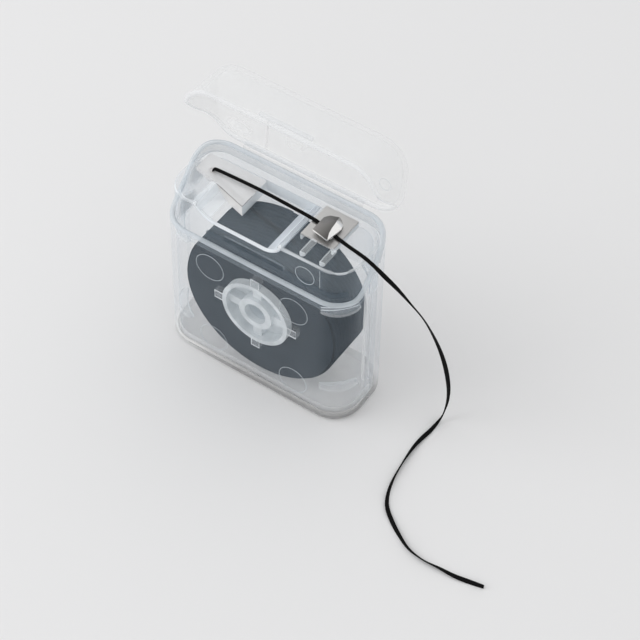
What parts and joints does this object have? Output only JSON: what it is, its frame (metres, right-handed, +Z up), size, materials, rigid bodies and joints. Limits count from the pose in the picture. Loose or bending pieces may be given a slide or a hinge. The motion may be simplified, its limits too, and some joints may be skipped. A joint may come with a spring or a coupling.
{
  "type": "dental floss dispenser",
  "caption": "Clear upright floss dispenser with a flip lid on a film hinge, a deck with a finger scoop and a toothed cutter, and dark floss drawn out over the side to the table.",
  "frame": {"origin": "centre of the case's underside, on the table", "axes": "+X to the right along the case's width, +Y to the back where the lid is hinged, +Z up"},
  "size_m": [0.0878, 0.039, 0.0642],
  "materials": {
    "clear_plastic": "clear moulded polypropylene",
    "milky_plastic": "milky moulded plastic",
    "steel": "thin stainless sheet",
    "wound_floss": "waxed flat floss, wound",
    "floss": "waxed flat floss"
  },
  "bodies": {
    "case": {"front_shell": "clear_plastic", "rear_shell": "clear_plastic", "hinge_strip": "clear_plastic", "deck_insert": "clear_plastic", "cutter_plate": "steel", "floss_lead": "floss", "floss_span": "floss", "floss_over_rim": "floss", "floss_tail": "floss"},
    "lid": {"lid": "clear_plastic"},
    "spool": {"spool_core": "milky_plastic", "floss_roll": "wound_floss", "floss_winding": "wound_floss"}
  },
  "joints": [
    {"name": "lid_hinge", "type": "hinge", "parent": "case", "child": "lid", "pos_m": [0, 0.00905, 0.04535], "axis": [-1, 0, 0], "range_deg": [-96.5, 75], "deforming": ["floss_over_rim"]},
    {"name": "spool_turn", "type": "hinge", "parent": "case", "child": "spool", "pos_m": [0, 0, 0.01945], "axis": [0, 1, 0], "continuous": true}
  ]
}
